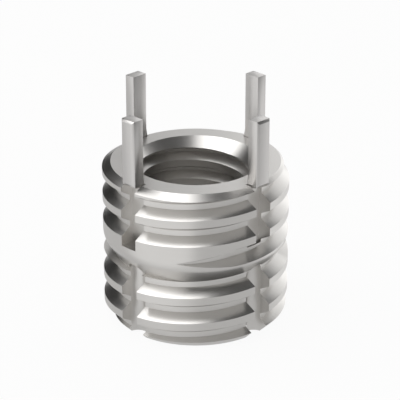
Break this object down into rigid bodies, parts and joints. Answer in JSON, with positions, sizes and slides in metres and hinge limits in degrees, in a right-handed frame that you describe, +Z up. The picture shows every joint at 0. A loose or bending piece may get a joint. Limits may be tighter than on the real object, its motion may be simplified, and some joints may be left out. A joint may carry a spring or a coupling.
{
  "type": "key-locking threaded insert",
  "caption": "Steel bush threaded outside and inside, with square keys standing in slots in its rim that are driven down to lock it in its hole.",
  "frame": {"origin": "centre of the body's lower end face", "axes": "+Z up the thread axis towards the keys, -Y the front, with the keys halfway between the X and Y axes"},
  "size_m": [0.0142, 0.0142, 0.0179],
  "materials": {
    "body_steel": "turned stainless steel, satin",
    "key_steel": "drawn stainless steel, satin"
  },
  "bodies": {
    "body": {"body": "body_steel"},
    "front_right_key": {"front_right_key": "key_steel"},
    "back_right_key": {"back_right_key": "key_steel"},
    "back_left_key": {"back_left_key": "key_steel"},
    "front_left_key": {"front_left_key": "key_steel"}
  },
  "joints": [
    {"name": "front_right_key_slide", "type": "slide", "parent": "body", "child": "front_right_key", "axis": [0, 0, -1], "range_m": [0, 0.00475]},
    {"name": "back_right_key_slide", "type": "slide", "parent": "body", "child": "back_right_key", "axis": [0, 0, -1], "range_m": [0, 0.00475]},
    {"name": "back_left_key_slide", "type": "slide", "parent": "body", "child": "back_left_key", "axis": [0, 0, -1], "range_m": [0, 0.00475]},
    {"name": "front_left_key_slide", "type": "slide", "parent": "body", "child": "front_left_key", "axis": [0, 0, -1], "range_m": [0, 0.00475]}
  ]
}
